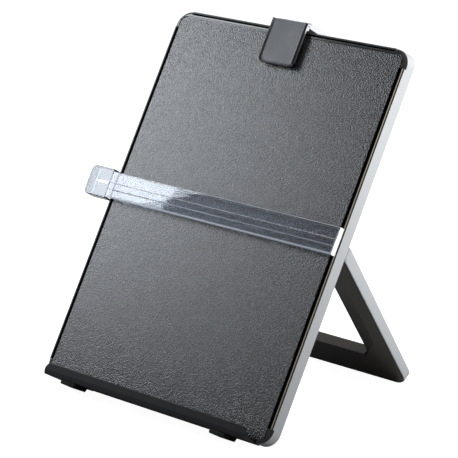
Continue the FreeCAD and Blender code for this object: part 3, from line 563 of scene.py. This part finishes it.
def clip_leaf_mesh():
    """Dished leaf with a rounded rim along its sides and foot."""
    rows, insets = NEAR_EDGE + ROWS_ABOVE, NEAR_EDGE + INSETS_BEYOND
    columns = [-LEAF_HALF + inset for inset in insets] + [0.0]
    columns += [LEAF_HALF - inset for inset in reversed(insets)]
    fronts, backs = [], []
    for along in rows:
        cut = max(0.0, LEAF_CORNER - along)
        half = LEAF_HALF - LEAF_CORNER + math.sqrt(LEAF_CORNER ** 2 - cut ** 2)
        for column in columns:
            x = column / LEAF_HALF * half
            rise = leaf_rise(leaf_edge_distance(x, along))
            fronts.append(on_board(x, LEAF_FOOT + along, LEAF_BACK + rise))
            backs.append(on_board(x, LEAF_FOOT + along, LEAF_BACK))
    wide, tall, back = len(columns), len(rows), len(fronts)
    faces = []
    for i in range(tall - 1):
        for j in range(wide - 1):
            corner = i * wide + j
            quad = (corner, corner + 1, corner + wide + 1, corner + wide)
            faces.append(quad)
            faces.append(tuple(back + k for k in quad))
    rim = list(range(wide))
    rim += [i * wide + wide - 1 for i in range(1, tall)]
    rim += [(tall - 1) * wide + j for j in range(wide - 2, -1, -1)]
    rim += [i * wide for i in range(tall - 2, 0, -1)]
    for here, there in zip(rim, rim[1:] + rim[:1]):
        faces.append((here, there, back + there, back + here))
    shape = bmesh.new()
    made = [shape.verts.new(point) for point in fronts + backs]
    for face in faces:
        shape.faces.new([made[i] for i in face])
    bmesh.ops.recalc_face_normals(shape, faces=shape.faces)
    return smooth_mesh("clip_leaf_dish", shape, LEAF_CREASE)


STOP_X, STOP_W = 80.3, 15.5        # middle and width of each rubber stop block
STOP_SECTION = ((-0.9, 12.2), (-4.3, 11.65), (-4.3, -3.5), (-0.9, -5.0))
STOP_ROUND = 0.5


def stop_block_mesh(name, side):
    """Rubber block under the ledge, on the left for a side of -1 and on the right for 1."""
    middle = side * STOP_X
    return rounded_bar(name, STOP_SECTION, middle - STOP_W / 2, middle + STOP_W / 2, STOP_ROUND)


SPRING_AT = (323.5, -19.5)         # clip hinge axis, (y, z)
SPRING_COIL, SPRING_WIRE, SPRING_PITCH, SPRING_TURNS = 2.3, 0.45, 1.25, 5.5
SPRING_LEGS = ((-5.0, -0.2), (-11.0, 1.4))     # end of each leg from its turn, (y, z)
TURN_STEPS = 16


def clip_spring_curve():
    """Torsion spring: a coil of round wire with a straight leg at each end."""
    points = []
    for i in range(int(SPRING_TURNS * TURN_STEPS) + 1):
        angle = 2.0 * math.pi * i / TURN_STEPS
        y = SPRING_AT[0] + SPRING_COIL * math.sin(angle)
        z = SPRING_AT[1] - SPRING_COIL * math.cos(angle)
        points.append((SPRING_PITCH * (i / TURN_STEPS - SPRING_TURNS / 2), y, z))
    for place, (rise, depth) in zip((0, len(points) + 1), SPRING_LEGS):
        x, y, z = points[0] if place == 0 else points[-1]
        points.insert(place, (x, y + rise, z + depth))
    curve = bpy.data.curves.new("clip_coil", "CURVE")
    curve.dimensions = "3D"
    curve.bevel_depth = SPRING_WIRE * MM
    curve.bevel_resolution = 3
    curve.use_fill_caps = True
    line = curve.splines.new("POLY")
    line.points.add(len(points) - 1)
    for target, (x, y, z) in zip(line.points, points):
        target.co = (*on_board(x, y, z), 1.0)
    return curve


def finish_nodes(material, slot_name, *names):
    """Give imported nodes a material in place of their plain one."""
    for name in names:
        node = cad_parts[name]
        node.data.materials.clear()
        node.data.materials.append(material)


class FinishBoard(bpy.types.Operator):
    """Finish the board, the stand's silver cover and all rubber pads"""

    bl_idname = "holder.finish_board"
    bl_label = "Board"

    def execute(self, context):
        satin = satin_plastic("satin_black", tuple(colours().satin), roughness=0.42, gloss=0.2)
        finish_nodes(grained_plastic(), "grained_black", "front_panel")
        finish_nodes(silver_paint("silver_paint"), "silver", "rear_shell", "kickstand_cover")
        finish_nodes(rail_plastic(), "smooth_black", "side_rail_left", "side_rail_right",
                     "top_rail")
        finish_nodes(satin, "smooth_black", "ledge")
        black_rubber = rubber()
        finish_nodes(black_rubber, "rubber", "heel_pad_left", "heel_pad_right", "clip_pad")
        for side, word in ((-1, "left"), (1, "right")):
            mesh = stop_block_mesh("stop_block_" + word, side)
            keep_piece("stop_block_" + word, mesh, black_rubber, "rubber", "board",
                       "foot_pad_" + word)
        return {"FINISHED"}


class FinishStand(bpy.types.Operator):
    """Finish the folding stand's dark frame"""

    bl_idname = "holder.finish_stand"
    bl_label = "Stand"

    def execute(self, context):
        dark = satin_plastic("stand_black", tuple(colours().stand), roughness=0.32, gloss=1.0)
        finish_nodes(dark, "stand_black", "kickstand_frame")
        return {"FINISHED"}


class FinishGuide(bpy.types.Operator):
    """Finish the clear line guide and its slide blocks"""

    bl_idname = "holder.finish_guide"
    bl_label = "Line guide"

    def execute(self, context):
        finish_nodes(clear_plastic(), "clear", "line_guide")
        finish_nodes(milky_plastic(), "shoe_white", "guide_shoe_left", "guide_shoe_right")
        return {"FINISHED"}


class FinishClip(bpy.types.Operator):
    """Finish the clip's leaf, lever and spring, and all steel pieces"""

    bl_idname = "holder.finish_clip"
    bl_label = "Clip and fastenings"

    def execute(self, context):
        steel = plated_steel()
        # Painted light and shade: a brighter copy of the silver paint, with dark flanks, for the
        # lever.
        lever = silver_paint("lever_silver_painted_shading", painted_lever_shading=True)
        finish_nodes(lever, "silver", "clip_lever")
        keep_piece("clip_leaf_dish", clip_leaf_mesh(), leaf_plastic(), "clip_black", "clip_arm",
                   "clip_leaf")
        keep_piece("clip_coil", clip_spring_curve(), steel, "steel", "clip_slider", "clip_spring")
        finish_nodes(steel, "steel", "clip_saddle", "clip_pin", "shell_screws", "ledge_screws",
                     "hinge_pin_left", "hinge_pin_right")
        return {"FINISHED"}


# ---- stage -------------------------------------------------------------------------------
CAMERA_AT = Vector((1.18789, -1.31598, 0.71974))
SENSOR = 36.0                      # in millimetres, as the lens
FRAME_STEPS, HALF_STEP = 458.0, 0.5            # the frame's centre lies half a step off axis
REACH = 30.0                       # how far the camera sees
WHITE = (1.0, 1.0, 1.0, 1.0)
MIDDLE = on_board(0.0, 165.0, 0.0)             # middle of the board's face
KEY_EDGE = on_board(-33.0, 165.0, 6.0)         # where the guide mirrors the key panel's edge
KEY_COLOUR = (0.88, 0.935, 1.0)
RIM_AT, RIM_AIM = (1.70, 0.62, 0.85), (0.12, 0.15, 0.25)
RIM_CONE, RIM_RADIUS, RIM_COLOUR = math.radians(21.0), 0.20, (1.0, 0.99, 0.96)
BACK_AT, BACK_WIDTH, BACK_COLOUR = (-0.75, 0.60, 0.95), 0.6, (0.97, 0.98, 1.0)
FLOOR_HALF, FLOOR_CLOUD, FLOOR_GLOW = 6.0, 0.4, 0.95
FLOOR_TONES = ((0.34, 0.34, 0.34), (0.37, 0.37, 0.37))


def mirrored_sight(point):
    """Direction in which the board's face mirrors the camera's sight of a point on it."""
    sight = (CAMERA_AT - point).normalized()
    return 2.0 * OUT_OF_BOARD.dot(sight) * OUT_OF_BOARD - sight


def aimed(at, target):
    """Turn of a light at one place that shines at another."""
    return (Vector(target) - Vector(at)).to_track_quat("-Z", "Y").to_euler()


def hang_light(name, lamp, at, turn, power, tint):
    """Hang a light that isn't seen itself."""
    lamp.energy = power
    lamp.color = tint
    holder = bpy.data.objects.new(name, lamp)
    holder.location = at
    holder.rotation_euler = turn
    holder.visible_camera = False
    bpy.context.scene.collection.objects.link(holder)
    return holder


def key_panel(stage):
    """Large soft panel whose near edge the guide mirrors left of its middle."""
    beam = mirrored_sight(KEY_EDGE)
    leftward = (-ACROSS + ACROSS.dot(beam) * beam).normalized()
    upward = leftward.cross(beam)
    edge = KEY_EDGE + beam * stage.key_distance
    centre = edge + leftward * stage.key_width / 2 + upward * stage.key_rise
    lamp = bpy.data.lights.new("key_panel", "AREA")
    lamp.shape = "RECTANGLE"
    lamp.size = stage.key_width
    lamp.size_y = stage.key_height
    sideways = Matrix.Rotation(stage.key_slant, 3, beam) @ leftward
    axes = Matrix((sideways, beam.cross(sideways), beam)).transposed()
    hang_light("key_panel", lamp, centre, axes.to_euler(), stage.key, KEY_COLOUR)


def rim_spot(stage):
    """Soft spot behind the right shoulder that lights the top of the silver wall most."""
    lamp = bpy.data.lights.new("rim_spot", "SPOT")
    lamp.spot_size = RIM_CONE
    lamp.spot_blend = 1.0
    lamp.shadow_soft_size = RIM_RADIUS
    holder = hang_light("rim_spot", lamp, RIM_AT, aimed(RIM_AT, RIM_AIM), stage.rim, RIM_COLOUR)
    holder.visible_glossy = False          # its glare would burn out walls seen from the left


def back_panel(stage):
    """Soft panel behind the left shoulder, which draws bright lines along upper edges."""
    lamp = bpy.data.lights.new("back_panel", "AREA")
    lamp.shape = "DISK"
    lamp.size = BACK_WIDTH
    hang_light("back_panel", lamp, BACK_AT, aimed(BACK_AT, MIDDLE), stage.back, BACK_COLOUR)


def pale_floor():
    """Pale matt floor that looks evenly lit, while it bounces light with its real shadows."""
    finish = Finish("pale_floor")
    cloud = finish.noise(FLOOR_CLOUD)
    finish.set(Base_Color=finish.mix(cloud, *FLOOR_TONES), Roughness=0.9)
    glow = finish.node("ShaderNodeEmission", {}, {"Color": WHITE, "Strength": FLOOR_GLOW})
    bounce = Value(finish, finish.shader.outputs["BSDF"])
    even = finish.node("ShaderNodeAddShader", {}, {0: glow, 1: bounce})
    seen = finish.node("ShaderNodeLightPath", {}, {}, "Is Camera Ray")
    surface = finish.node("ShaderNodeMixShader", {}, {"Fac": seen, 1: bounce, 2: even})
    finish.feed(finish.nodes["Material Output"], {"Surface": surface})
    return finish.material


class BuildStage(bpy.types.Operator):
    """Lay the pale floor, hang the soft lights and set up the camera"""

    bl_idname = "holder.build_stage"
    bl_label = "Stage"

    def execute(self, context):
        scene, stage = context.scene, context.scene.holder_stage
        mesh = bpy.data.meshes.new("floor")
        corners = [(-FLOOR_HALF, -FLOOR_HALF, 0), (FLOOR_HALF, -FLOOR_HALF, 0),
                   (FLOOR_HALF, FLOOR_HALF, 0), (-FLOOR_HALF, FLOOR_HALF, 0)]
        mesh.from_pydata(corners, [], [(0, 1, 2, 3)])
        mesh.materials.append(pale_floor())
        floor = bpy.data.objects.new("floor", mesh)
        scene.collection.objects.link(floor)
        sky = bpy.data.worlds.new("even_white")
        sky.use_nodes = True
        glow = sky.node_tree.nodes["Background"].inputs
        glow["Color"].default_value = WHITE
        glow["Strength"].default_value = stage.sky
        scene.world = sky
        scene.view_settings.view_transform = "Standard"
        key_panel(stage)
        rim_spot(stage)
        back_panel(stage)
        self.set_camera(scene, stage)
        return {"FINISHED"}

    def set_camera(self, scene, stage):
        """Stand the camera where the whole holder is in view, a little rolled."""
        lens = bpy.data.cameras.new("camera")
        lens.lens = stage.lens
        lens.sensor_width = SENSOR
        lens.shift_x = -HALF_STEP / FRAME_STEPS
        lens.shift_y = HALF_STEP / FRAME_STEPS
        lens.clip_end = REACH
        camera = bpy.data.objects.new("camera", lens)
        turn = (Matrix.Rotation(stage.heading, 4, "Z")
                @ Matrix.Rotation(math.pi / 2 - stage.pitch, 4, "X")
                @ Matrix.Rotation(stage.roll, 4, "Z"))
        camera.matrix_world = Matrix.Translation(CAMERA_AT) @ turn
        scene.collection.objects.link(camera)
        scene.camera = camera


class HolderPanel(bpy.types.Panel):
    """Buttons for each group of pieces, with the sizes and colours above them"""

    bl_idname = "VIEW3D_PT_holder"
    bl_label = "Copy holder"
    bl_space_type = "VIEW_3D"
    bl_region_type = "UI"
    bl_category = "Holder"

    def draw(self, context):
        for group in (context.scene.holder_colours, context.scene.holder_sizes,
                      context.scene.holder_stage):
            box = self.layout.box()
            for name in group.__annotations__:
                box.prop(group, name)
        for step in STEPS:
            self.layout.operator(step.bl_idname)


STEPS = (FinishBoard, FinishStand, FinishGuide, FinishClip, BuildStage)
GROUPS = {"holder_colours": HolderColours, "holder_sizes": HolderSizes,
          "holder_stage": StageSettings}


def register():
    for name, group in GROUPS.items():
        bpy.utils.register_class(group)
        setattr(bpy.types.Scene, name, PointerProperty(type=group))
    for step in STEPS:
        bpy.utils.register_class(step)
    bpy.utils.register_class(HolderPanel)


def unregister():
    bpy.utils.unregister_class(HolderPanel)
    for step in reversed(STEPS):
        bpy.utils.unregister_class(step)
    for name, group in GROUPS.items():
        delattr(bpy.types.Scene, name)
        bpy.utils.unregister_class(group)


def main():
    register()
    for step in STEPS:
        group, name = step.bl_idname.split(".")
        getattr(getattr(bpy.ops, group), name)()


if __name__ == "__main__":
    main()
